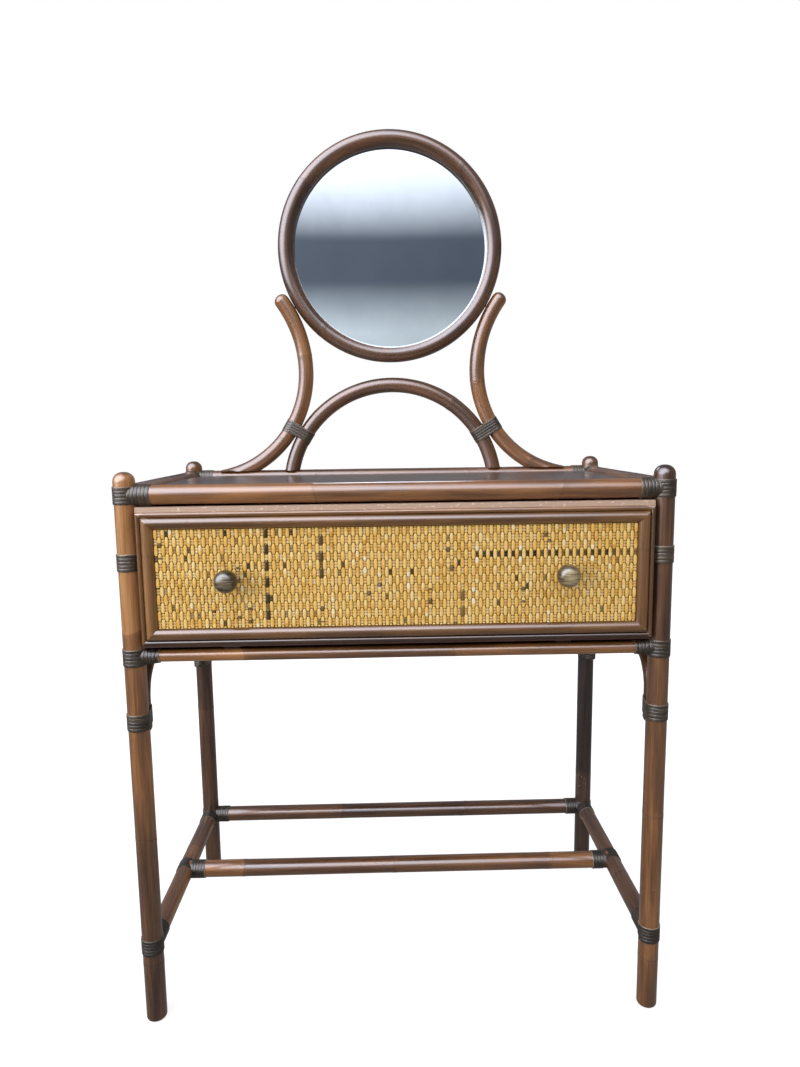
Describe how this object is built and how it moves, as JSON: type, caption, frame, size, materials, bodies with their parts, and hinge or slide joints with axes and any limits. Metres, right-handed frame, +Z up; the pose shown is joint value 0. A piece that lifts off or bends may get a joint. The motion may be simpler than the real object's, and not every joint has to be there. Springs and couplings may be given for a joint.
{
  "type": "rattan dressing table",
  "caption": "Dark rattan dressing table with a cane-woven drawer, lashed bent-pole frame and a round tilting mirror on a bent-pole stand.",
  "frame": {"origin": "on the floor, at the middle of the overall width and depth", "axes": "+Z up, +Y towards the back, +X to the right of someone facing the drawer"},
  "size_m": [0.7306, 0.4186, 1.318],
  "materials": {
    "rattan_pole": "dark-stained lacquered rattan pole, satin",
    "binding_cane": "stained binding cane, satin",
    "woven_cane": "natural woven cane, satin",
    "tabletop_board": "stained board, satin lacquer",
    "stained_board": "stained plywood and board, matt",
    "split_pole_moulding": "half-round split rattan, gloss lacquer",
    "knob_wood": "turned wood, satin",
    "mirror_glass": "silvered glass",
    "brass": "plain",
    "steel": "plain"
  },
  "bodies": {
    "frame": {"front_leg_left": "rattan_pole", "front_leg_right": "rattan_pole", "back_leg_left": "rattan_pole", "back_leg_right": "rattan_pole", "top_front_rail": "rattan_pole", "top_back_rail": "rattan_pole", "top_side_rail_left": "rattan_pole", "top_side_rail_right": "rattan_pole", "lower_front_rail": "rattan_pole", "lower_back_rail": "rattan_pole", "lower_side_rail_left": "rattan_pole", "lower_side_rail_right": "rattan_pole", "side_stretcher_left": "rattan_pole", "side_stretcher_right": "rattan_pole", "middle_stretcher": "rattan_pole", "back_stretcher": "rattan_pole", "front_brace_left": "rattan_pole", "front_brace_right": "rattan_pole", "back_brace_left": "rattan_pole", "back_brace_right": "rattan_pole", "drawer_runner_left": "rattan_pole", "drawer_runner_right": "rattan_pole", "mirror_arm_left": "rattan_pole", "mirror_arm_right": "rattan_pole", "mirror_arch": "rattan_pole", "top_corner_lashings": "binding_cane", "lower_corner_lashings": "binding_cane", "mid_leg_lashings": "binding_cane", "brace_leg_lashings": "binding_cane", "brace_rail_lashings": "binding_cane", "stretcher_lashings": "binding_cane", "middle_stretcher_lashings": "binding_cane", "mirror_stand_lashings": "binding_cane", "tabletop": "tabletop_board", "side_panel_left": "stained_board", "side_panel_right": "stained_board", "back_panel": "stained_board", "dust_board": "stained_board", "drawer_guides": "stained_board", "top_bearers": "stained_board", "side_weave_left": "woven_cane", "side_weave_right": "woven_cane"},
    "mirror": {"mirror_hoop": "rattan_pole", "mirror_glass": "mirror_glass", "mirror_backboard": "stained_board", "mirror_turn_buttons": "brass", "mirror_pivot_screws": "steel"},
    "drawer": {"drawer_front": "stained_board", "drawer_weave": "woven_cane", "drawer_half_round_rails": "split_pole_moulding", "drawer_half_round_stiles": "split_pole_moulding", "drawer_beads": "split_pole_moulding", "drawer_side_left": "stained_board", "drawer_side_right": "stained_board", "drawer_back": "stained_board", "drawer_bottom": "stained_board", "knob_left": "knob_wood", "knob_right": "knob_wood", "knob_screws": "steel"}
  },
  "joints": [
    {"name": "mirror_tilt", "type": "hinge", "parent": "frame", "child": "mirror", "pos_m": [0, 0.19375, 1.0327], "axis": [1, 0, 0], "range_deg": [-15, 15]},
    {"name": "drawer_slide", "type": "slide", "parent": "frame", "child": "drawer", "axis": [0, -1, 0], "range_m": [0, 0.25]}
  ]
}
